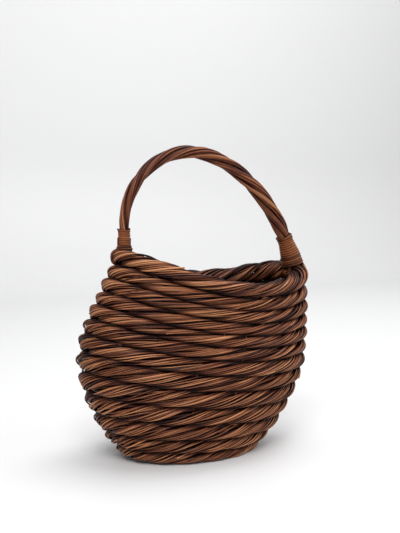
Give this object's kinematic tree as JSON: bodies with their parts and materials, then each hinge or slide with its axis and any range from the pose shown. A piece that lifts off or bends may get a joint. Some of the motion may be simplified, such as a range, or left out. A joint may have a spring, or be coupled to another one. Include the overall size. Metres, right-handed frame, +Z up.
{
  "type": "woven basket",
  "caption": "Oval basket of two-ply twined rope courses on bent ribs, with a dipped rim, a woven base and a fixed twisted handle lashed over the rim.",
  "frame": {"origin": "centre of the flat face that the basket stands on", "axes": "+X along the basket's long side, towards the handle's thick, low end; -Y is the front; +Z up"},
  "size_m": [0.3146, 0.1634, 0.3908],
  "materials": {
    "rope_rod": "satin vine",
    "rib": "dull cane",
    "base": "dull woven vine",
    "lashing": "satin cane",
    "handle_rod": "satin cane"
  },
  "bodies": {
    "root": {"course_01_ply_a": "rope_rod", "course_01_ply_b": "rope_rod", "course_02_ply_a": "rope_rod", "course_02_ply_b": "rope_rod", "course_03_ply_a": "rope_rod", "course_03_ply_b": "rope_rod", "course_04_ply_a": "rope_rod", "course_04_ply_b": "rope_rod", "course_05_ply_a": "rope_rod", "course_05_ply_b": "rope_rod", "course_06_ply_a": "rope_rod", "course_06_ply_b": "rope_rod", "course_07_ply_a": "rope_rod", "course_07_ply_b": "rope_rod", "course_08_ply_a": "rope_rod", "course_08_ply_b": "rope_rod", "course_09_ply_a": "rope_rod", "course_09_ply_b": "rope_rod", "course_10_ply_a": "rope_rod", "course_10_ply_b": "rope_rod", "course_11_ply_a": "rope_rod", "course_11_ply_b": "rope_rod", "course_12_ply_a": "rope_rod", "course_12_ply_b": "rope_rod", "course_13_ply_a": "rope_rod", "course_13_ply_b": "rope_rod", "cross_rib_1": "rib", "cross_rib_2": "rib", "cross_rib_3": "rib", "cross_rib_4": "rib", "cross_rib_5": "rib", "cross_rib_6": "rib", "long_rib_1": "rib", "long_rib_2": "rib", "base_mat": "base", "handle_core": "handle_rod", "handle_rod_1": "handle_rod", "handle_rod_2": "handle_rod", "handle_rod_3": "handle_rod", "handle_rod_4": "handle_rod", "handle_rod_5": "handle_rod", "handle_rod_6": "handle_rod", "left_lashing": "lashing", "right_lashing": "lashing", "left_rim_loop": "lashing", "right_rim_loop": "lashing"}
  },
  "joints": []
}
